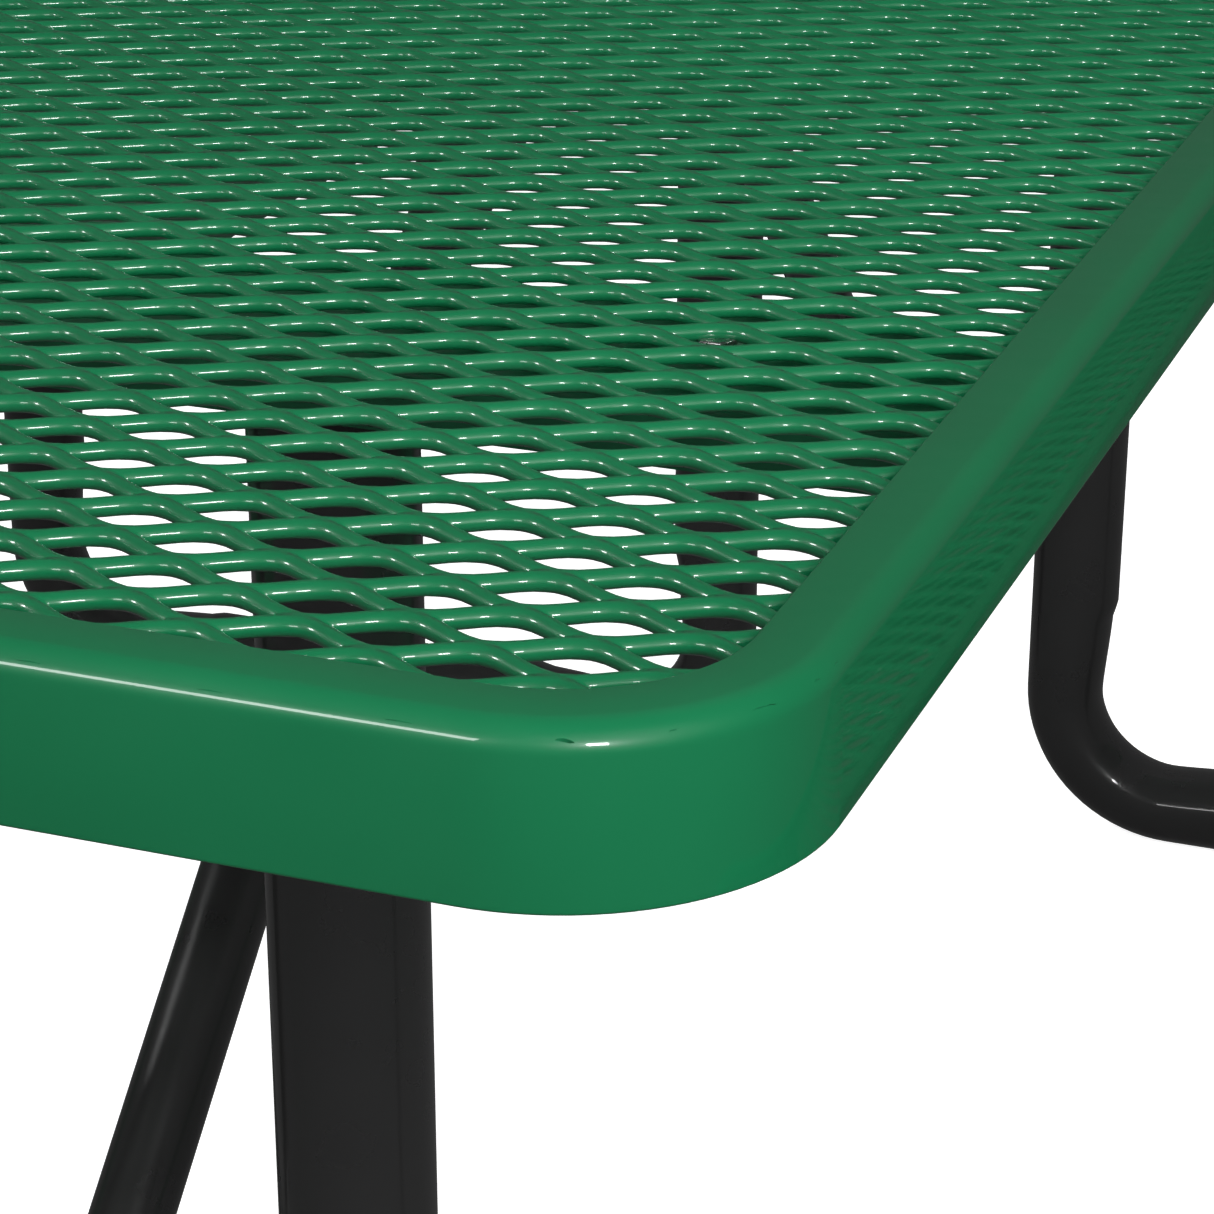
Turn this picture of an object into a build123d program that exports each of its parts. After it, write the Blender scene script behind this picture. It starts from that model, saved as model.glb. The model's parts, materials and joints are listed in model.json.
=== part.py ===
from build123d import *
import math
import os

# Picnic table with a walk-through frame, in millimetres.
# X runs across the table, Y along it and Z up. The origin is on the ground under the middle.

# Tabletop and benches: a rolled steel rim around a sheet of expanded metal.
TABLE_LENGTH = 1829.0
TABLE_WIDTH = 780.0
TABLE_TOP = 751.0
BENCH_WIDTH = 305.0
BENCH_CENTRE_X = 665.5
BENCH_TOP = 418.0
RIM_DEPTH = 50.8
RIM_WALL = 3.0
RIM_FLANGE = 24.0
RIM_CORNER_RADIUS = 76.0
RIM_EDGE_RADIUS = 8.0

# Expanded metal, long way of the diamonds across the table. Each opening of this sheet stands for
# a group of four real ones: the pitch and the strand are doubled, so the open share is the real one.
MESH_THICKNESS = 4.5
REAL_DIAMOND_LONG = 50.8
REAL_DIAMOND_SHORT = 26.0
REAL_STRAND_WIDTH = 7.5
GROUPING = 2
DIAMOND_LONG = GROUPING * REAL_DIAMOND_LONG
DIAMOND_SHORT = GROUPING * REAL_DIAMOND_SHORT
STRAND_WIDTH = GROUPING * REAL_STRAND_WIDTH
MESH_EDGE = 2.0

# Crossbars: channels that open downwards, across the underside of each deck.
CROSSBAR_WIDTH = 95.0
CROSSBAR_DEPTH = 22.0
CROSSBAR_WALL = 3.5
CROSSBAR_GAP = 6.0
FRAME_Y = 595.0

# Frame tubes.
LEG_DIAMETER = 60.3
LEG_WALL = 2.8
LEG_BEND_RADIUS = 78.0
POST_X = 133.0
RISER_X = 684.0
CROSS_TUBE_Z = 262.0
BRACE_DIAMETER = 35.0
BRACE_WALL = 2.5
BRACE_SLOPE = 0.967
BRACE_LOW_Z = 254.0

# Plates that tie the tubes to the crossbars.
PLATE_THICKNESS = 6.0
PLATE_WIDTH = 80.0
POST_PLATE_LENGTH = 600.0
SEAT_PLATE_LENGTH = 118.0
ANCHOR_LENGTH = 120.0
TAB_THICKNESS = 8.0
TAB_WIDTH = 56.0
TAB_INNER_Y = 5.0
TAB_OUTER_Y = 150.0

# Bolts, nuts and washers.
BOLT_DIAMETER = 8.0
BOLT_HOLE = 9.0
HEX_ACROSS_FLATS = 12.7
HEX_EDGE_RADIUS = 0.8
HEAD_HEIGHT = 5.0
NUT_HEIGHT = 4.5
WASHER_DIAMETER = 22.0
WASHER_THICKNESS = 1.4
TABLE_BOLT_X = 270.0
TABLE_BOLT_INSET = 4.0
SEAT_BOLT_OFFSET_X = 42.0
SEAT_BOLT_OFFSET_Y = 32.0
BRACE_BOLT_Y = 28.0

LEG_RADIUS = LEG_DIAMETER / 2
ENDS = {"near": -1, "far": 1}
SIDES = {"left": -1, "right": 1}


def web_top(deck_top):
    """Height of the top of a crossbar under a deck."""
    return deck_top - RIM_WALL - MESH_THICKNESS - CROSSBAR_GAP


def plate_underside(deck_top):
    """Height of the underside of a plate that lies inside a crossbar."""
    return web_top(deck_top) - CROSSBAR_WALL - PLATE_THICKNESS


def rounded_block(width, length, radius, bottom, height):
    """An upright block with rounded corners, centred on the Z axis."""
    outline = RectangleRounded(width, length, radius)
    return extrude(Pos(0, 0, bottom) * outline, height)


def deck_rim(centre_x, deck_top, width):
    """One rim: a side skirt with a flange turned in over the mesh."""
    bottom = deck_top - RIM_DEPTH
    rim = rounded_block(width, TABLE_LENGTH, RIM_CORNER_RADIUS, bottom, RIM_DEPTH)
    rim = fillet(rim.edges().group_by(Axis.Z)[-1], RIM_EDGE_RADIUS)
    core = rounded_block(
        width - 2 * RIM_WALL,
        TABLE_LENGTH - 2 * RIM_WALL,
        RIM_CORNER_RADIUS - RIM_WALL,
        bottom,
        RIM_DEPTH - RIM_WALL,
    )
    core = fillet(core.edges().group_by(Axis.Z)[-1], RIM_EDGE_RADIUS - RIM_WALL)
    window = rounded_block(
        width - 2 * RIM_FLANGE,
        TABLE_LENGTH - 2 * RIM_FLANGE,
        RIM_CORNER_RADIUS - RIM_FLANGE,
        bottom,
        RIM_DEPTH,
    )
    return Pos(centre_x, 0, 0) * (rim - core - window)


def inside_rounded_rectangle(x, y, half_width, half_length, radius):
    """True if a point lies inside a rectangle with rounded corners."""
    beyond_x = max(abs(x) - (half_width - radius), 0)
    beyond_y = max(abs(y) - (half_length - radius), 0)
    return math.hypot(beyond_x, beyond_y) <= radius


def diamond_points(x, y):
    """The four points of one opening of the expanded metal."""
    slope_angle = math.atan2(DIAMOND_SHORT, DIAMOND_LONG)
    half_long = DIAMOND_LONG / 2 - STRAND_WIDTH / 2 / math.sin(slope_angle)
    half_short = half_long * DIAMOND_SHORT / DIAMOND_LONG
    return [(x + half_long, y), (x, y + half_short), (x - half_long, y), (x, y - half_short)]


def deck_mesh(centre_x, deck_top, width):
    """A flat sheet of expanded metal that lies under the rim's flange."""
    inset = RIM_EDGE_RADIUS
    sheet_width = width - 2 * inset
    sheet_length = TABLE_LENGTH - 2 * inset
    radius = RIM_CORNER_RADIUS - inset
    half_width = sheet_width / 2 - MESH_EDGE
    half_length = sheet_length / 2 - MESH_EDGE
    columns = math.ceil(sheet_width / DIAMOND_LONG) + 1
    rows = math.ceil(sheet_length / DIAMOND_SHORT) + 1
    openings = []
    for column in range(-columns, columns + 1):
        for row in range(-rows, rows + 1):
            if (column + row) % 2:
                continue
            points = diamond_points(column * DIAMOND_LONG / 2, row * DIAMOND_SHORT / 2)
            if all(
                inside_rounded_rectangle(px, py, half_width, half_length, radius - MESH_EDGE)
                for px, py in points
            ):
                openings.append(Wire.make_polygon([(px, py, 0) for px, py in points]))
    outline = RectangleRounded(sheet_width, sheet_length, radius).face().outer_wire()
    sheet = extrude(Face(outline, openings), MESH_THICKNESS, dir=(0, 0, 1))
    return Pos(centre_x, 0, deck_top - RIM_WALL - MESH_THICKNESS) * sheet


def upright_hole(x, y, bottom, height):
    """The cutter for one bolt hole."""
    return Pos(x, y, bottom) * extrude(Circle(BOLT_HOLE / 2), height)


def crossbar(centre_x, y, deck_top, deck_width, bolt_places):
    """A channel that opens downwards, from skirt to skirt, with holes for its bolts."""
    length = deck_width - 2 * RIM_WALL
    top = web_top(deck_top)
    bottom = top - CROSSBAR_DEPTH
    bar = Pos(centre_x, y, bottom) * extrude(Rectangle(length, CROSSBAR_WIDTH), CROSSBAR_DEPTH)
    bar = fillet(bar.edges().filter_by(Axis.X).group_by(Axis.Z)[-1], CROSSBAR_WALL)
    hollow = Rectangle(length, CROSSBAR_WIDTH - 2 * CROSSBAR_WALL)
    bar -= Pos(centre_x, y, bottom) * extrude(hollow, CROSSBAR_DEPTH - CROSSBAR_WALL)
    for bolt_x, bolt_y in bolt_places:
        bar -= upright_hole(bolt_x, bolt_y, bottom, CROSSBAR_DEPTH)
    return bar


def drilled_plate(centre_x, y, bottom, length, width, bolt_places):
    """A flat plate with rounded corners and bolt holes."""
    plate = extrude(Pos(centre_x, y, bottom) * RectangleRounded(length, width, 6), PLATE_THICKNESS)
    for bolt_x, bolt_y in bolt_places:
        plate -= upright_hole(bolt_x, bolt_y, bottom, PLATE_THICKNESS)
    return plate


def tube_along(path, diameter, wall):
    """A hollow tube swept along a path, with square ends."""
    start = Plane(path @ 0, z_dir=path % 0)
    section = Circle(diameter / 2) - Circle(diameter / 2 - wall)
    return sweep(start * section, path=path)


def leg_tube(side, end):
    """One bent tube: post, run along the ground and riser under the bench."""
    y = end * FRAME_Y
    corners = [
        (side * POST_X, y, plate_underside(TABLE_TOP)),
        (side * POST_X, y, LEG_RADIUS),
        (side * RISER_X, y, LEG_RADIUS),
        (side * RISER_X, y, plate_underside(BENCH_TOP)),
    ]
    return tube_along(FilletPolyline(*corners, radius=LEG_BEND_RADIUS), LEG_DIAMETER, LEG_WALL)


def post_cross_tube(end):
    """A level tube between the two posts, with its ends shaped to them."""
    y = end * FRAME_Y
    path = Line((-POST_X, y, CROSS_TUBE_Z), (POST_X, y, CROSS_TUBE_Z))
    tube = tube_along(path, LEG_DIAMETER, LEG_WALL)
    for side in SIDES.values():
        tube -= Pos(side * POST_X, y, 0) * extrude(Circle(LEG_RADIUS), TABLE_TOP)
    return max(tube.solids(), key=lambda solid: solid.volume)


def tab_underside():
    """Height of the underside of the braces' flattened ends."""
    return web_top(TABLE_TOP) - CROSSBAR_DEPTH - PLATE_THICKNESS - TAB_THICKNESS


def brace(end):
    """A sloping tube from the cross tube up to a flattened end under the tabletop's middle."""
    tab_middle = tab_underside() + TAB_THICKNESS / 2
    high_y = FRAME_Y - (tab_middle - BRACE_LOW_Z) / BRACE_SLOPE
    path = Line((0, end * FRAME_Y, BRACE_LOW_Z), (0, end * high_y, tab_middle))
    tube = tube_along(path, BRACE_DIAMETER, BRACE_WALL)
    cross_tube = Plane((-POST_X, end * FRAME_Y, CROSS_TUBE_Z), z_dir=(1, 0, 0))
    tube -= cross_tube * extrude(Circle(LEG_RADIUS), 2 * POST_X)
    tube -= Pos(0, 0, tab_middle) * extrude(Rectangle(TABLE_WIDTH, TABLE_LENGTH), BRACE_DIAMETER)
    tube = max(tube.solids(), key=lambda solid: solid.volume)
    tab_length = TAB_OUTER_Y - TAB_INNER_Y
    tab_y = end * (TAB_INNER_Y + TAB_OUTER_Y) / 2
    tab_outline = RectangleRounded(TAB_WIDTH, tab_length, TAB_WIDTH / 2 - 1)
    tab = extrude(Pos(0, tab_y, tab_underside()) * tab_outline, TAB_THICKNESS)
    return tube + tab - upright_hole(0, end * BRACE_BOLT_Y, tab_underside(), TAB_THICKNESS)


def bolt(x, y, head_top, grip_top):
    """A hex bolt that points up: its head is under the plate and its shank ends level with the nut."""
    head = extrude(Pos(x, y, head_top) * hexagon(), -HEAD_HEIGHT)
    head = fillet(head.edges().group_by(Axis.Z)[0], HEX_EDGE_RADIUS)
    return head + extrude(Pos(x, y, head_top) * Circle(BOLT_DIAMETER / 2), grip_top - head_top)


def hexagon():
    """The outline of a bolt head or nut."""
    return RegularPolygon(HEX_ACROSS_FLATS / 2, 6, major_radius=False)


def nut(x, y, bottom):
    """A hex nut with its bore filled by the shank of its bolt."""
    body = extrude(Pos(x, y, bottom) * hexagon(), NUT_HEIGHT)
    body = fillet(body.edges().group_by(Axis.Z)[-1], HEX_EDGE_RADIUS)
    return body - Pos(x, y, bottom) * extrude(Circle(BOLT_DIAMETER / 2), NUT_HEIGHT)


def washer(x, y, bottom):
    """A flat washer."""
    ring = Circle(WASHER_DIAMETER / 2) - Circle(BOLT_HOLE / 2)
    return extrude(Pos(x, y, bottom) * ring, WASHER_THICKNESS)


def bolt_sets(places, head_top, clamped_top):
    """The bolts, washers and nuts of one kind of joint, each kind as separate solids."""
    nut_bottom = clamped_top + WASHER_THICKNESS
    bolts = [bolt(x, y, head_top, nut_bottom + NUT_HEIGHT) for x, y in places]
    washers = [washer(x, y, clamped_top) for x, y in places]
    nuts = [nut(x, y, nut_bottom) for x, y in places]
    return {"bolts": bolts, "washers": washers, "nuts": nuts}


def table_bolt_places(end):
    """Where the top plate of one end frame is bolted to its crossbar."""
    return [(side * TABLE_BOLT_X, end * (FRAME_Y - TABLE_BOLT_INSET)) for side in SIDES.values()]


def seat_bolt_places(side, end):
    """Where one riser's plate is bolted to its bench crossbar."""
    return [
        (side * RISER_X + across * SEAT_BOLT_OFFSET_X, end * FRAME_Y + along * SEAT_BOLT_OFFSET_Y)
        for across in (-1, 1)
        for along in (-1, 1)
    ]


def brace_bolt_places():
    """Where the braces' flattened ends are bolted to the anchor plate."""
    return [(0, end * BRACE_BOLT_Y) for end in ENDS.values()]


def tabletop_parts():
    """The tabletop: rim, mesh, crossbars and the plate for the braces."""
    parts = {
        "tabletop_rim": deck_rim(0, TABLE_TOP, TABLE_WIDTH),
        "tabletop_mesh": deck_mesh(0, TABLE_TOP, TABLE_WIDTH),
        "tabletop_crossbar_centre": crossbar(0, 0, TABLE_TOP, TABLE_WIDTH, []),
    }
    for name, end in ENDS.items():
        places = table_bolt_places(end)
        parts[f"tabletop_crossbar_{name}"] = crossbar(0, end * FRAME_Y, TABLE_TOP, TABLE_WIDTH, places)
    anchor_bottom = tab_underside() + TAB_THICKNESS
    parts["brace_anchor_plate"] = drilled_plate(
        0, 0, anchor_bottom, ANCHOR_LENGTH, CROSSBAR_WIDTH, brace_bolt_places()
    )
    return parts


def bench_parts(side_name, side):
    """One bench: rim, mesh and three crossbars."""
    centre_x = side * BENCH_CENTRE_X
    prefix = f"bench_{side_name}"
    parts = {
        f"{prefix}_rim": deck_rim(centre_x, BENCH_TOP, BENCH_WIDTH),
        f"{prefix}_mesh": deck_mesh(centre_x, BENCH_TOP, BENCH_WIDTH),
        f"{prefix}_crossbar_centre": crossbar(centre_x, 0, BENCH_TOP, BENCH_WIDTH, []),
    }
    for name, end in ENDS.items():
        bar = crossbar(centre_x, end * FRAME_Y, BENCH_TOP, BENCH_WIDTH, seat_bolt_places(side, end))
        parts[f"{prefix}_crossbar_{name}"] = bar
    return parts


def frame_parts():
    """The walk-through frame: two end frames with their plates, and two braces."""
    parts = {}
    for name, end in ENDS.items():
        y = end * FRAME_Y
        parts[f"post_cross_tube_{name}"] = post_cross_tube(end)
        parts[f"post_top_plate_{name}"] = drilled_plate(
            0, y, plate_underside(TABLE_TOP), POST_PLATE_LENGTH, PLATE_WIDTH, table_bolt_places(end)
        )
        parts[f"brace_{name}"] = brace(end)
        for side_name, side in SIDES.items():
            place = f"{name}_{side_name}"
            parts[f"leg_tube_{place}"] = leg_tube(side, end)
            parts[f"seat_plate_{place}"] = drilled_plate(
                side * RISER_X,
                y,
                plate_underside(BENCH_TOP),
                SEAT_PLATE_LENGTH,
                PLATE_WIDTH,
                seat_bolt_places(side, end),
            )
    return parts


def fastener_parts():
    """Bolts, washers and nuts, one node for each kind at each kind of joint."""
    table_places = [place for end in ENDS.values() for place in table_bolt_places(end)]
    seat_places = [
        place
        for end in ENDS.values()
        for side in SIDES.values()
        for place in seat_bolt_places(side, end)
    ]
    joints = {
        "tabletop": bolt_sets(table_places, plate_underside(TABLE_TOP), web_top(TABLE_TOP)),
        "bench": bolt_sets(seat_places, plate_underside(BENCH_TOP), web_top(BENCH_TOP)),
        "brace": bolt_sets(brace_bolt_places(), tab_underside(), web_top(TABLE_TOP) - CROSSBAR_DEPTH),
    }
    return {
        f"{joint}_{kind}": Compound(children=solids)
        for joint, kinds in joints.items()
        for kind, solids in kinds.items()
    }


os.makedirs("parts", exist_ok=True)
nodes = tabletop_parts() | frame_parts() | fastener_parts()
for bench_side, bench_sign in SIDES.items():
    nodes |= bench_parts(bench_side, bench_sign)
for node_name, shape in nodes.items():
    export_step(shape, f"parts/{node_name}.step")
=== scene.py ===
import json
import math

import bmesh
import bpy
import numpy as np
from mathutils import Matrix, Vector


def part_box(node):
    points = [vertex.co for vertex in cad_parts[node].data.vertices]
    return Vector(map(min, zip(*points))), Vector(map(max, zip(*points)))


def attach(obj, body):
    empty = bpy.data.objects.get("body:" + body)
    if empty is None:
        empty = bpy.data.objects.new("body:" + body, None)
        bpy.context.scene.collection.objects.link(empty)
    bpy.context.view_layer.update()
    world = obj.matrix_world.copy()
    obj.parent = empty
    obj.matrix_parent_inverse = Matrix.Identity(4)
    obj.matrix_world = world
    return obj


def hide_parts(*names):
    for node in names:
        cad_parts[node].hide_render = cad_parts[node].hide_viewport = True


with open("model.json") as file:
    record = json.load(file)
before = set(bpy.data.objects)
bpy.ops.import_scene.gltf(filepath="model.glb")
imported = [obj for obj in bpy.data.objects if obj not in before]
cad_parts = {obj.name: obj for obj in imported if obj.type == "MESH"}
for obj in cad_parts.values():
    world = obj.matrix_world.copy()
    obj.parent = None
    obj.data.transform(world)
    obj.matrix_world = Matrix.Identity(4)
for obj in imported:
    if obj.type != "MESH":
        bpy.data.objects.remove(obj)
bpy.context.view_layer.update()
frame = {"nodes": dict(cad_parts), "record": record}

# Everything is in metres, in the frame of the CAD part: X across the table, Y along it, Z up.
MM = 0.001
BODY = "root"
ENDS = ("near", "far")
SIDES = ("left", "right")

# Expanded metal of the decks: rows of wavy round strands that are joined at bonds.
DIAMOND_LONG = 50.8 * MM
DIAMOND_SHORT = 26.0 * MM
FIRST_OPENING = (-4.7 * MM, 9.9 * MM)
STRAND_RADIUS = 2.95 * MM
STRAND_DROP = 3.2 * MM
BOND_OFFSET = 1.3 * MM
WAVE_TILT = 0.05 * MM
WAVE_FULLNESS = 1.6
BOND_FILL = 2.2 * MM
FALL_PAST_STRAND = 8
OUTLINE_STEPS = 7
RINGS_ABOVE = 4
RINGS_BELOW = 3
SECTION_FACES = 90000

# Rolled rims.
RIM_CORNER_RADIUS = 76.0 * MM
RIM_FLANGE = 24.0 * MM
RIM_WALL = 3.0 * MM
RIM_EDGE_RADIUS = 8.0 * MM
RIM_LIP_RADIUS = 1.3 * MM
RIM_CORNER_STEPS = 24

# Frame tubes.
LEG_BEND_RADIUS = 78.0 * MM
RING_SPACING = 6.0 * MM
TUBE_SIDES = 40
DENT_REACH = 128.0 * MM
DENT_SHARP = 14.0 * MM
DENT_SOFT = 85.0 * MM
DENT_SHARE = 0.27
DENT_SHARP_SHARE = 0.35
DENT_BULGE = 0.12
BRACE_RADIUS = 17.5 * MM
BRACE_SLOPE = 0.967
BRACE_DROP = 8.0 * MM
BRACE_TAB = 8.0 * MM
BRACE_START = 0.36
BRACE_KNEE_RADIUS = 45.0 * MM
BRACE_PRESS_START = 95.0 * MM
BRACE_PRESS_LENGTH = 75.0 * MM

# Height of the coatings' orange peel.
PEEL_DEPTH = 0.005 * MM

# The camera: its place seen from the tabletop's near right corner, its lens in mm, and how many
# degrees it looks down and to the left of straight along the table.
CAMERA_OFFSET = (0.2257, -0.6888, 0.3418)
CAMERA_LENS = 102.07
CAMERA_DOWN = 22.595
CAMERA_LEFT = 20.762


# ---------------------------------------------------------------- meshes


def add_object(name, vertices, faces, material):
    """A mesh object made from plain lists, which rides on the table."""
    mesh = bpy.data.meshes.new(name)
    mesh.from_pydata([tuple(v) for v in vertices], [], [tuple(f) for f in faces])
    mesh.update()
    mesh.polygons.foreach_set("use_smooth", [True] * len(mesh.polygons))
    piece = bpy.data.objects.new(name, mesh)
    bpy.context.collection.objects.link(piece)
    piece.data.materials.append(material)
    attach(piece, BODY)
    return piece


def smoothstep(value):
    """Rises smoothly from 0 to 1 as value does."""
    value = np.clip(value, 0.0, 1.0)
    return value * value * (3.0 - 2.0 * value)


def ring_faces(rings, sides):
    """Quads between successive rings of points, with an n-gon on each end."""
    faces = []
    for ring in range(rings - 1):
        for side in range(sides):
            following = (side + 1) % sides
            low, high = ring * sides, (ring + 1) * sides
            faces.append((low + side, low + following, high + following, high + side))
    faces.append(tuple(reversed(range(sides))))
    faces.append(tuple((rings - 1) * sides + side for side in range(sides)))
    return faces


# ---------------------------------------------------------------- expanded metal


def strand_line(x):
    """The centre line of the strand above the opening at the origin: its y, slope and height at x."""
    half_long = DIAMOND_LONG / 2
    rise = DIAMOND_SHORT / 2 - 2 * BOND_OFFSET
    power = WAVE_FULLNESS
    place = np.mod(x, DIAMOND_LONG)
    falling = place < half_long
    share = np.where(falling, 1 - place / half_long, place / half_long - 1)
    along = 2 * share - 1
    climbed = (share - (np.sign(along) * np.abs(along) ** (power + 1) + 1) / (2 * (power + 1))) * (
        (power + 1) / power
    )
    slope = (1 - np.abs(along) ** power) * (power + 1) / power * rise / half_long
    return BOND_OFFSET + rise * climbed, np.where(falling, -slope, slope), WAVE_TILT * (2 * climbed - 1)


def nearest_on_strands(points):
    """For each strand row near the origin: the nearest centre-line point, its height and its distance."""
    samples = np.linspace(-DIAMOND_LONG, DIAMOND_LONG, 1601)
    found = []
    for row in (-2, -1, 0, 1, 2):
        y, _, height = strand_line(samples + (row % 2) * DIAMOND_LONG / 2)
        line = np.column_stack([samples, y + row * DIAMOND_SHORT / 2])
        square = ((points[:, None, :] - line[None, :, :]) ** 2).sum(axis=2)
        nearest = square.argmin(axis=1)
        distance = np.sqrt(square[np.arange(len(points)), nearest])
        found.append((line[nearest], height[nearest], distance))
    return found


def strand_surface(points, face):
    """Height and normal of the strands' top (face 1) or underside (face -1), with the bonds filled in."""
    height = np.full(len(points), -1.0)
    second = height.copy()
    normal = np.zeros((len(points), 3))
    second_normal = normal.copy()
    for foot, level, distance in nearest_on_strands(points):
        rise = np.sqrt(np.maximum(STRAND_RADIUS**2 - distance**2, 0))
        value = face * level + rise - FALL_PAST_STRAND * np.maximum(distance - STRAND_RADIUS, 0)
        reach = np.maximum(distance, STRAND_RADIUS)[:, None]
        own_normal = np.column_stack([points - foot, rise]) / reach
        best = value > height
        runner_up = ~best & (value > second)
        second = np.where(best, height, np.where(runner_up, value, second))
        second_normal = np.where(runner_up[:, None], own_normal, second_normal)
        second_normal = np.where(best[:, None], normal, second_normal)
        height = np.where(best, value, height)
        normal = np.where(best[:, None], own_normal, normal)
    apart = np.clip((height - second) / BOND_FILL, 0, 1)
    height = height + BOND_FILL * (1 - apart) ** 2 / 4
    share = 0.5 * (1 - apart)[:, None]
    normal = normal * (1 - share) + second_normal * share
    normal /= np.linalg.norm(normal, axis=1)[:, None]
    normal[:, 2] *= face
    return face * height, normal


def opening_outline():
    """One quarter of an opening's outline, from its tip to the middle of its top: x, y and height."""
    x = np.linspace(0, DIAMOND_LONG / 2, 4001)
    y, slope, height = strand_line(x)
    stretch = np.sqrt(1 + slope**2)
    edge_y = y - STRAND_RADIUS / stretch
    beyond = np.nonzero(edge_y <= 0)[0]
    last = beyond[0] if len(beyond) else len(x) - 1
    edge_x = x + STRAND_RADIUS * slope / stretch
    steps = np.arange(OUTLINE_STEPS + 1) / OUTLINE_STEPS
    steps = 0.5 * steps + 0.25 * (1 - np.cos(np.pi * steps))
    wanted = x[last] * (1 - steps)
    outline = np.column_stack([np.interp(wanted, x, values) for values in (edge_x, edge_y, height)])
    outline[0, 1:] = 0
    middles = np.column_stack([DIAMOND_LONG / 2 * (1 - steps), DIAMOND_SHORT / 2 * steps])
    return outline, middles


def strand_tile():
    """The metal around one opening, out to the middles of its strands: points, normals and quads."""
    outline, middles = opening_outline()
    inner = np.concatenate([outline, (outline * (-1, 1, 1))[-2:0:-1]])
    outer = np.concatenate([middles, (middles * (-1, 1))[-2:0:-1]])
    inner = np.concatenate([inner, -inner])
    outer = np.concatenate([outer, -outer])
    sides = len(inner)
    points, normals = [inner], [outline_normals(inner)]
    for face, rings in ((1, RINGS_ABOVE), (-1, RINGS_BELOW)):
        for ring in range(1, rings + 1):
            place = inner[:, :2] + (outer - inner[:, :2]) * (1 - math.cos(math.pi / 2 * ring / rings))
            height, normal = strand_surface(place, face)
            points.append(np.column_stack([place, height]))
            normals.append(normal)
    faces = []
    for side in range(sides):
        after = (side + 1) % sides
        for ring in range(RINGS_ABOVE):
            low, high = ring * sides, (ring + 1) * sides
            faces.append((low + side, high + side, high + after, low + after))
        for ring in range(RINGS_BELOW):
            low = 0 if ring == 0 else (RINGS_ABOVE + ring) * sides
            high = (RINGS_ABOVE + ring + 1) * sides
            faces.append((low + side, low + after, high + after, high + side))
    return np.concatenate(points), np.concatenate(normals), np.array(faces)


def outline_normals(outline):
    """Level normals round an opening's edge, which point into the opening."""
    nearest = np.full(len(outline), 1.0)
    normals = np.zeros((len(outline), 3))
    for foot, _, distance in nearest_on_strands(outline[:, :2]):
        closer = distance < nearest
        level = np.column_stack([outline[:, :2] - foot, np.zeros(len(outline))]) / STRAND_RADIUS
        normals = np.where(closer[:, None], level, normals)
        nearest = np.where(closer, distance, nearest)
    tips = np.abs(outline[:, 1]) < 1e-9
    normals[tips] = np.column_stack([-np.sign(outline[tips, 0]), np.zeros((tips.sum(), 2))])
    return normals


def deck_cut_planes(low, high, radius):
    """Planes, as point and outward normal, that together bound a rounded rectangle."""
    corner_steps = 6
    middle_x, middle_y = (low[0] + high[0]) / 2, (low[1] + high[1]) / 2
    reach_x, reach_y = (high[0] - low[0]) / 2 - radius, (high[1] - low[1]) / 2 - radius
    planes = []
    for quarter in range(4):
        for step in range(corner_steps):
            angle = math.pi / 2 * (quarter + step / corner_steps)
            normal = Vector((math.cos(angle), math.sin(angle), 0))
            side_x = math.copysign(reach_x, normal.x)
            side_y = math.copysign(reach_y, normal.y)
            planes.append((Vector((middle_x + side_x, middle_y + side_y, 0)) + radius * normal, normal))
    return planes


def tile_centres(centre, low, high):
    """Centres of the openings that lie on a deck or just past its edge."""
    columns = int((high[0] - low[0]) / DIAMOND_LONG) + 3
    rows = int((high[1] - low[1]) / DIAMOND_SHORT) + 3
    column, row = np.meshgrid(np.arange(-columns, columns + 1), np.arange(-rows, rows + 1))
    chosen = (column + row) % 2 == 0
    x = centre[0] + FIRST_OPENING[0] + column[chosen] * DIAMOND_LONG / 2
    y = centre[1] + FIRST_OPENING[1] + row[chosen] * DIAMOND_SHORT / 2
    return np.column_stack([x, y])


def inside_deck(points, low, high, radius):
    """Which points lie inside a rounded rectangle."""
    middle = (np.array(low[:2]) + np.array(high[:2])) / 2
    half = (np.array(high[:2]) - np.array(low[:2])) / 2
    beyond = np.maximum(np.abs(points - middle) - (half - radius), 0)
    return np.hypot(beyond[:, 0], beyond[:, 1]) <= radius


def weld(points, normals, faces):
    """Joins points that lie at the same place."""
    keys = np.round(points / (1e-3 * MM)).astype(np.int64)
    _, first, place = np.unique(keys, axis=0, return_index=True, return_inverse=True)
    place = place.reshape(-1).tolist()
    return points[first], normals[first], [[place[i] for i in face] for face in faces]


def clipped(points, normals, faces, planes):
    """Cuts a mesh back to the inside of the planes and closes the cuts."""
    shape = bmesh.new()
    layer = shape.verts.layers.float_vector.new("own_normal")
    corners = [shape.verts.new(p) for p in points]
    for corner, normal in zip(corners, normals):
        corner[layer] = normal
    for face in faces:
        shape.faces.new([corners[i] for i in face])
    for place, outward in planes:
        everything = list(shape.verts) + list(shape.edges) + list(shape.faces)
        cut = bmesh.ops.bisect_plane(
            shape, geom=everything, plane_co=place, plane_no=outward, clear_outer=True, dist=1e-7
        )
        edges = [item for item in cut["geom_cut"] if isinstance(item, bmesh.types.BMEdge)]
        bmesh.ops.holes_fill(shape, edges=[edge for edge in edges if edge.is_boundary], sides=0)
    shape.verts.index_update()
    new_points = np.array([vertex.co[:] for vertex in shape.verts])
    new_normals = np.array([vertex[layer][:] for vertex in shape.verts])
    new_normals /= np.linalg.norm(new_normals, axis=1)[:, None] + 1e-9
    new_faces = [[vertex.index for vertex in face.verts] for face in shape.faces]
    shape.free()
    return new_points, new_normals, new_faces


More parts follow.
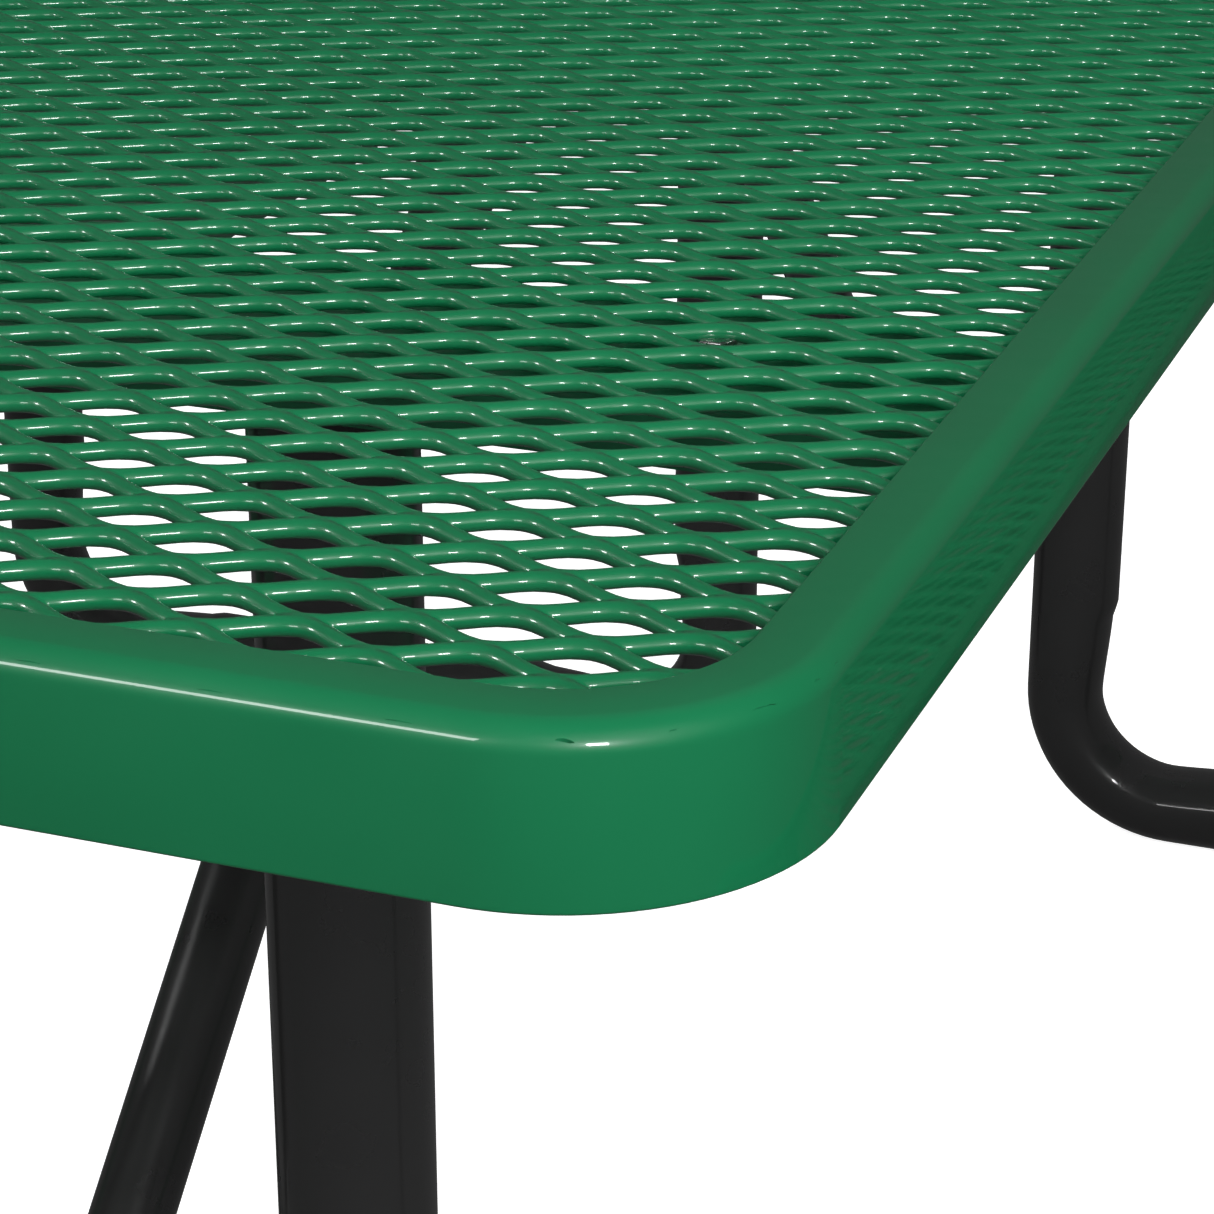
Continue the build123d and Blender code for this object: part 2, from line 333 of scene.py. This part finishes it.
def repeated(tile, centres, level):
    """Copies of one tile at every centre."""
    points, normals, faces = tile
    shifts = np.column_stack([centres, np.full(len(centres), level)])
    all_points = (points[None, :, :] + shifts[:, None, :]).reshape(-1, 3)
    offsets = (np.arange(len(centres)) * len(points))[:, None, None]
    return all_points, np.tile(normals, (len(centres), 1)), (faces[None] + offsets).reshape(-1, 4).tolist()


def expanded_metal(node, rim_node, material):
    """The strands of one deck's expanded metal, as a few sections that meet without a seam."""
    low, high = (np.array(corner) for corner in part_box(rim_node))
    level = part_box(node)[1][2] - STRAND_DROP
    inset = np.array([RIM_WALL / 2, RIM_WALL / 2, 0])
    low, high = low + inset, high - inset
    radius = RIM_CORNER_RADIUS - RIM_WALL / 2
    planes = deck_cut_planes(low, high, radius)
    tile = strand_tile()
    places = tile_centres((low + high) / 2, low, high)
    half_long, half_short = DIAMOND_LONG / 2, DIAMOND_SHORT / 2
    reach = np.array([[half_long, 0], [-half_long, 0], [0, half_short], [0, -half_short], [0, 0]])
    corners_inside = np.array([inside_deck(places + corner, low, high, radius) for corner in reach])
    whole = corners_inside.all(axis=0)
    touching = corners_inside.any(axis=0)
    order = np.argsort(places[:, 1], kind="stable")
    order = order[touching[order]]
    count = math.ceil(len(order) * len(tile[2]) / SECTION_FACES)
    for index, chosen in enumerate(np.array_split(order, count)):
        points, normals, faces = repeated(tile, places[chosen[whole[chosen]]], level)
        edge_mesh = weld(*repeated(tile, places[chosen[~whole[chosen]]], level))
        edge_points, edge_normals, edge_faces = clipped(*edge_mesh, planes)
        faces += [[i + len(points) for i in face] for face in edge_faces]
        points = np.concatenate([points, edge_points])
        normals = np.concatenate([normals, edge_normals])
        points, normals, faces = weld(points, normals, faces)
        piece = add_object(f"{node}_section_{index + 1}", points, faces, material)
        piece.data.normals_split_custom_set_from_vertices(normals.tolist())
        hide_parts(node)


# ---------------------------------------------------------------- rims


def arc(centre, radius, start, end, steps):
    """Points of an arc, angles in degrees, both ends included."""
    angles = np.radians(np.linspace(start, end, steps + 1))
    return [(centre[0] + radius * math.cos(a), centre[1] + radius * math.sin(a)) for a in angles]


def rim_profile(depth):
    """The rim's section: distance in from the outer face, and height below the top."""
    lip = RIM_LIP_RADIUS
    edge = RIM_EDGE_RADIUS
    inner = RIM_EDGE_RADIUS - RIM_WALL
    points = arc((lip, -depth + lip), lip, 270, 180, 4)
    points += arc((edge, -edge), edge, 180, 90, 12)
    points += arc((RIM_FLANGE - lip, -lip), lip, 90, 0, 4)
    points += arc((RIM_FLANGE - lip, -RIM_WALL + lip), lip, 0, -90, 3)
    points += arc((RIM_WALL + inner, -RIM_WALL - inner), inner, 90, 180, 6)
    points += arc((RIM_WALL - lip, -depth + lip), lip, 0, -90, 4)
    return points


def rim_section(centre, top, angle, profile):
    """The rim's section on one ray from the centre of a corner."""
    points = []
    for inward, drop in profile:
        reach = RIM_CORNER_RADIUS - inward
        x = centre[0] + reach * math.cos(angle)
        y = centre[1] + reach * math.sin(angle)
        points.append((x, y, top + drop))
    return points


def rim(node, material):
    """A rolled rim with rounded corners, swept round the deck."""
    low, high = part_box(node)
    profile = rim_profile(high[2] - low[2])
    points = []
    for corner, (sign_x, sign_y) in enumerate(((1, 1), (-1, 1), (-1, -1), (1, -1))):
        centre_x = high[0] - RIM_CORNER_RADIUS if sign_x > 0 else low[0] + RIM_CORNER_RADIUS
        centre_y = high[1] - RIM_CORNER_RADIUS if sign_y > 0 else low[1] + RIM_CORNER_RADIUS
        for step in range(RIM_CORNER_STEPS + 1):
            angle = math.pi / 2 * (corner + step / RIM_CORNER_STEPS)
            points += rim_section((centre_x, centre_y), high[2], angle, profile)
    sides = len(profile)
    faces = []
    for here in range(0, len(points), sides):
        beyond = (here + sides) % len(points)
        for side in range(sides):
            after = (side + 1) % sides
            faces.append((here + side, beyond + side, beyond + after, here + after))
    piece = add_object(node + "_rolled", points, faces, material)
    crease(piece, 40)
    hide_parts(node)


def crease(piece, degrees):
    """Keeps edges sharper than an angle unsmoothed, by a mark on each edge."""
    shape = bmesh.new()
    shape.from_mesh(piece.data)
    bmesh.ops.recalc_face_normals(shape, faces=shape.faces)
    for edge in shape.edges:
        if len(edge.link_faces) == 2 and edge.calc_face_angle(0) > math.radians(degrees):
            edge.smooth = False
    shape.to_mesh(piece.data)
    shape.free()


# ---------------------------------------------------------------- tubes


def bent_path(corners, radius):
    """Points along straight runs and arcs, with the direction and the inner side of each bend."""
    corners = [Vector(c) for c in corners]
    points, tangents, stations, bends = [], [], [], []
    travelled = 0.0
    here = corners[0]
    for index in range(1, len(corners)):
        corner = corners[index]
        direction = (corner - corners[index - 1]).normalized()
        last = index == len(corners) - 1
        straight = (corner - here).length - (0 if last else radius)
        steps = max(1, round(straight / RING_SPACING))
        for step in range(steps + (1 if last else 0)):
            points.append(here + direction * (straight * step / steps))
            tangents.append(direction)
            stations.append(travelled + straight * step / steps)
        travelled += straight
        if last:
            break
        outgoing = (corners[index + 1] - corner).normalized()
        start = corner - direction * radius
        centre = start + outgoing * radius
        length = radius * math.pi / 2
        bends.append((travelled + length / 2, outgoing, -direction))
        steps = round(length / RING_SPACING)
        for step in range(steps):
            angle = math.pi / 2 * step / steps
            cosine, sine = math.cos(angle), math.sin(angle)
            points.append(centre - outgoing * radius * cosine + direction * radius * sine)
            tangents.append(direction * cosine + outgoing * sine)
            stations.append(travelled + length * step / steps)
        travelled += length
        here = corner + outgoing * radius
    return points, tangents, stations, bends


def dent_depth(distance):
    """How much of a bend's dent is there, at a distance along the tube from the middle of the bend."""
    past = DENT_REACH - abs(distance)
    sharp = smoothstep(past / DENT_SHARP)
    soft = smoothstep(past / DENT_SOFT)
    return DENT_SHARP_SHARE * sharp + (1 - DENT_SHARP_SHARE) * soft


def dented_ring(point, inward, sideways, radius, depth):
    """A tube's section whose inner half is flattened and whose flanks bulge to make up for it."""
    ring = []
    for index in range(TUBE_SIDES):
        angle = 2 * math.pi * index / TUBE_SIDES
        across, along = math.cos(angle), math.sin(angle)
        if across > 0:
            across *= 1 - depth
        bulge = 1 + DENT_BULGE * depth * (1 - abs(along)) * abs(along) * 4
        ring.append(point + inward * (radius * across) + sideways * (radius * along * bulge))
    return ring


def leg_tube(end, side, material):
    """One press-bent leg: the inner side of each bend is pressed flat, as the bending die leaves it."""
    node = f"leg_tube_{end}_{side}"
    low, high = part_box(node)
    radius = (high[1] - low[1]) / 2
    sign = 1 if side == "right" else -1
    inner_x, outer_x = (low[0], high[0]) if sign > 0 else (high[0], low[0])
    post_x, riser_x = inner_x + sign * radius, outer_x - sign * radius
    y = (low[1] + high[1]) / 2
    plate_low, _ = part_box(f"seat_plate_{end}_{side}")
    corners = [
        (post_x, y, high[2]),
        (post_x, y, radius),
        (riser_x, y, radius),
        (riser_x, y, plate_low[2]),
    ]
    points, tangents, stations, bends = bent_path(corners, LEG_BEND_RADIUS)
    sideways = Vector((0, 1, 0))
    rings = []
    for point, tangent, station in zip(points, tangents, stations):
        middle, out, back = min(bends, key=lambda bend: abs(bend[0] - station))
        inward = tangent.cross(sideways)
        if inward.dot(out + back) < 0:
            inward = -inward
        ring = dented_ring(point, inward, sideways, radius, DENT_SHARE * dent_depth(station - middle))
        if inward.cross(sideways).dot(tangent) < 0:
            ring = [ring[0]] + ring[:0:-1]
        rings += ring
    piece = add_object(node + "_bent", rings, ring_faces(len(points), TUBE_SIDES), material)
    crease(piece, 50)
    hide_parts(node)


def brace_line(start, knee, inward, tip_y):
    """Points and directions up a brace, round its knee and level to its tip."""
    uphill = (knee - start).normalized()
    aside = (inward - uphill * uphill.dot(inward)).normalized()
    bend_angle = uphill.angle(inward)
    straight = (knee - start).length - BRACE_KNEE_RADIUS * math.tan(bend_angle / 2)
    steps = round(straight / RING_SPACING)
    line = [(start + uphill * (straight * step / steps), uphill) for step in range(steps + 1)]
    centre = line[-1][0] + aside * BRACE_KNEE_RADIUS
    for step in range(1, 9):
        angle = bend_angle * step / 8
        turned = uphill * math.cos(angle) + aside * math.sin(angle)
        offset = uphill * math.sin(angle) - aside * math.cos(angle)
        line.append((centre + offset * BRACE_KNEE_RADIUS, turned))
    level_start = line[-1][0]
    level_run = abs(tip_y - level_start.y)
    for step in range(1, 25):
        line.append((level_start + inward * (level_run * step / 24), inward))
    return line


def pressed_ring(point, tangent, half_width, half_height, pressed):
    """A section between round and a flat bar."""
    across = Vector((1, 0, 0))
    upward = across.cross(tangent)
    upward = upward if upward.z > 0 else -upward
    ring = []
    for index in range(TUBE_SIDES):
        angle = 2 * math.pi * index / TUBE_SIDES
        cosine, sine = math.cos(angle), math.sin(angle)
        x = math.copysign(abs(cosine) ** (1 - 0.4 * pressed), cosine)
        z = math.copysign(abs(sine) ** (1 - 0.72 * pressed), sine)
        ring.append(point + across * (half_width * x) + upward * (half_height * z))
    return ring


def brace(end, material):
    """A sloping brace whose upper end is pressed flat and bent level under the tabletop."""
    node = f"brace_{end}"
    low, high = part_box(node)
    cross_low, cross_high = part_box(f"post_cross_tube_{end}")
    sign = 1 if end == "far" else -1
    inward = Vector((0, -sign, 0))
    tab_half_width = (high[0] - low[0]) / 2
    tip_y = low[1] if sign > 0 else high[1]
    foot = Vector((0, (cross_low[1] + cross_high[1]) / 2, (cross_low[2] + cross_high[2]) / 2 - BRACE_DROP))
    top = high[2] - BRACE_TAB / 2
    knee = Vector((0, foot.y - sign * (top - foot.z) / BRACE_SLOPE, top))
    start = foot + (knee - foot).normalized() * (cross_high[2] - cross_low[2]) * BRACE_START
    rise = (knee - start).length
    total = rise + abs(tip_y - knee.y)
    line = brace_line(start, knee, inward, tip_y)
    rings = []
    travelled = 0.0
    previous = start
    for point, tangent in line:
        travelled += (point - previous).length
        previous = point
        pressed = float(smoothstep((travelled - (rise - BRACE_PRESS_START)) / BRACE_PRESS_LENGTH))
        half_width = BRACE_RADIUS + (tab_half_width - BRACE_RADIUS) * pressed
        half_height = BRACE_RADIUS + (BRACE_TAB / 2 - BRACE_RADIUS) * pressed
        to_tip = (total - travelled) / tab_half_width
        if to_tip < 1:
            half_width *= math.sqrt(max(0.02, 1 - (1 - to_tip) ** 2))
        rings += pressed_ring(point, tangent, half_width, half_height, pressed)
    piece = add_object(node + "_pressed", rings, ring_faces(len(line), TUBE_SIDES), material)
    crease(piece, 60)
    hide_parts(node)


# ---------------------------------------------------------------- materials


def new_material(name):
    """An empty node material with its shader."""
    material = bpy.data.materials.new(name)
    material.use_nodes = True
    nodes = material.node_tree.nodes
    return material, nodes, material.node_tree.links, nodes["Principled BSDF"]


def noise(nodes, links, scale, detail, vector):
    """A noise texture in the object's own space."""
    texture = nodes.new("ShaderNodeTexNoise")
    texture.inputs["Scale"].default_value = scale
    texture.inputs["Detail"].default_value = detail
    links.new(vector, texture.inputs["Vector"])
    return texture.outputs["Fac"]


def ramp(nodes, links, factor, low, high, start=0.35, end=0.65):
    """Maps a noise onto a range of greys or colours."""
    node = nodes.new("ShaderNodeValToRGB")
    node.color_ramp.elements[0].position = start
    node.color_ramp.elements[1].position = end
    node.color_ramp.elements[0].color = (*low, 1)
    node.color_ramp.elements[1].color = (*high, 1)
    links.new(factor, node.inputs["Fac"])
    return node.outputs["Color"]


def grey(value):
    """A grey as a colour."""
    return (value, value, value)


def coated_surface(name, colours, roughness, peel_scale, coat):
    """A coating with a faint colour drift, patchy gloss and an orange-peel bump."""
    material, nodes, links, shader = new_material(name)
    place = nodes.new("ShaderNodeTexCoord").outputs["Object"]
    drift = noise(nodes, links, 7.0, 3.0, place)
    links.new(ramp(nodes, links, drift, *colours, 0.3, 0.7), shader.inputs["Base Color"])
    smudges = noise(nodes, links, 28.0, 4.0, place)
    gloss = ramp(nodes, links, smudges, grey(roughness[0]), grey(roughness[1]))
    links.new(gloss, shader.inputs["Roughness"])
    peel = nodes.new("ShaderNodeBump")
    peel.inputs["Strength"].default_value = 1.0
    peel.inputs["Distance"].default_value = PEEL_DEPTH
    links.new(noise(nodes, links, peel_scale, 2.0, place), peel.inputs["Height"])
    links.new(peel.outputs["Normal"], shader.inputs["Normal"])
    shader.inputs["Coat Weight"].default_value = coat
    shader.inputs["Coat Roughness"].default_value = 0.04
    return material


def zinc(name):
    """Zinc-plated steel with a fine grain."""
    material, nodes, links, shader = new_material(name)
    place = nodes.new("ShaderNodeTexCoord").outputs["Object"]
    grain = noise(nodes, links, 900.0, 4.0, place)
    patches = noise(nodes, links, 160.0, 3.0, place)
    spangle = ramp(nodes, links, patches, (0.42, 0.42, 0.43), (0.72, 0.71, 0.69))
    links.new(spangle, shader.inputs["Base Color"])
    links.new(ramp(nodes, links, grain, grey(0.22), grey(0.42)), shader.inputs["Roughness"])
    shader.inputs["Metallic"].default_value = 1.0
    bump = nodes.new("ShaderNodeBump")
    bump.inputs["Distance"].default_value = 0.05 * MM
    links.new(grain, bump.inputs["Height"])
    links.new(bump.outputs["Normal"], shader.inputs["Normal"])
    return material


# ---------------------------------------------------------------- stage


def staged(name, vertices, faces, colour, brightness):
    """A pale glowing surface that only sets the scene: it doesn't show in the gloss of the table."""
    mesh = bpy.data.meshes.new(name)
    mesh.from_pydata(vertices, [], faces)
    surface = bpy.data.objects.new(name, mesh)
    bpy.context.collection.objects.link(surface)
    material, _, _, shader = new_material(name)
    shader.inputs["Base Color"].default_value = (colour, colour, colour, 1)
    shader.inputs["Roughness"].default_value = 0.9
    shader.inputs["Emission Color"].default_value = (1, 1, 1, 1)
    shader.inputs["Emission Strength"].default_value = brightness
    mesh.materials.append(material)
    surface.visible_glossy = False
    return surface


def add_stage():
    """A wide pale floor, and a round white wall behind everything."""
    reach, height, sides = 14.0, 12.0, 64
    angles = [2 * math.pi * side / sides for side in range(sides)]
    ring = [(reach * math.cos(a), reach * math.sin(a)) for a in angles]
    floor = staged("floor", [(x, y, 0.0) for x, y in ring], [tuple(range(sides))], 0.8, 0.9)
    floor.visible_diffuse = False
    wall_points = [(x, y, z) for z in (0.0, height) for x, y in ring]
    wall_faces = [(s, sides + s, sides + (s + 1) % sides, (s + 1) % sides) for s in range(sides)]
    wall_faces.append(tuple(sides + s for s in range(sides)))
    wall = staged("backdrop", wall_points, wall_faces, 0.0, 1.0)
    wall.visible_diffuse = False


def area_light(name, target, direction, distance, shape, width, height, power):
    """A flat light that looks at a point from a direction."""
    light = bpy.data.lights.new(name, "AREA")
    light.shape = shape
    light.size = width
    light.size_y = height
    light.energy = power
    lamp = bpy.data.objects.new(name, light)
    direction = Vector(direction).normalized()
    lamp.location = Vector(target) + direction * distance
    lamp.rotation_euler = direction.to_track_quat("Z", "Y").to_euler()
    bpy.context.collection.objects.link(lamp)
    return lamp


def add_camera(corner):
    """A long lens that looks down on the near right corner of the tabletop."""
    camera = bpy.data.cameras.new("camera")
    camera.sensor_width = 36.0
    camera.lens = CAMERA_LENS
    camera.clip_start = 0.05
    viewer = bpy.data.objects.new("camera", camera)
    viewer.location = corner + Vector(CAMERA_OFFSET)
    viewer.rotation_euler = (math.radians(90 - CAMERA_DOWN), 0, math.radians(CAMERA_LEFT))
    bpy.context.collection.objects.link(viewer)
    bpy.context.scene.camera = viewer


def add_lights(corner):
    """Broad lights that only shade the table, small ones that only glint on it, and a dim surround."""
    for name, direction, size, power in (
        ("soft_key", (0.6, -0.75, 0.55), 2.4, 112),
        ("soft_left", (-0.7, -0.6, 0.6), 2.4, 40),
        ("soft_back", (0.0, 0.8, 0.9), 2.4, 35),
    ):
        lamp = area_light(name, (0, 0, 0.5), direction, 3.4, "DISK", size, size, power)
        lamp.visible_glossy = False
    for name, direction, width, power in (
        ("glint_right", (0.505, -0.772, 0.384), 0.42, 24),
        ("glint_front", (-0.420, -0.820, 0.384), 1.30, 17),
        ("glint_left", (-0.890, -0.243, 0.384), 0.42, 12),
    ):
        lamp = area_light(name, corner, direction, 3.0, "RECTANGLE", width, 0.42, power)
        lamp.visible_diffuse = False
    world = bpy.data.worlds.new("world")
    bpy.context.scene.world = world
    world.use_nodes = True
    background = world.node_tree.nodes["Background"]
    background.inputs["Color"].default_value = (1, 1, 1, 1)
    background.inputs["Strength"].default_value = 0.06


# ---------------------------------------------------------------- the table

rim_low, rim_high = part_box("tabletop_rim")
near_right_corner = Vector((rim_high[0], rim_low[1], rim_high[2]))

green = coated_surface(
    "green_coating",
    colours=((0.005, 0.140, 0.052), (0.006, 0.162, 0.061)),
    roughness=(0.30, 0.38),
    peel_scale=260.0,
    coat=1.0,
)
# A darker copy of the green coating for the crossbars. It is painted shade for the shadow that the deck's
# mesh casts on them; the real crossbars carry the same green as the rest of the table.
crossbar_green_painted_shade = coated_surface(
    "green_crossbar_painted_shade",
    colours=((0.004, 0.070, 0.028), (0.005, 0.085, 0.034)),
    roughness=(0.30, 0.38),
    peel_scale=260.0,
    coat=0.5,
)
black = coated_surface(
    "black_powder_coat",
    colours=((0.021, 0.021, 0.0212), (0.025, 0.025, 0.0252)),
    roughness=(0.26, 0.34),
    peel_scale=420.0,
    coat=1.0,
)
steel = zinc("zinc_fasteners")
finishes = {
    "green_coating": green,
    "black_powder_coat": black,
    "zinc_fasteners": steel,
}

for entry in frame["record"]["subparts"]:
    part = frame["nodes"][entry["node"]]
    part.data.materials.clear()
    # Crossbars take the darker green copy, which is painted shade, not a different paint.
    crossbar = "crossbar" in entry["node"]
    part.data.materials.append(crossbar_green_painted_shade if crossbar else finishes[entry["material_slot"]])

for deck in ("tabletop", "bench_left", "bench_right"):
    rim(deck + "_rim", green)
    expanded_metal(deck + "_mesh", deck + "_rim", green)

for end in ENDS:
    brace(end, black)
    for side in SIDES:
        leg_tube(end, side, black)

add_stage()
add_camera(near_right_corner)
add_lights(near_right_corner)
bpy.context.scene.view_settings.view_transform = "Standard"
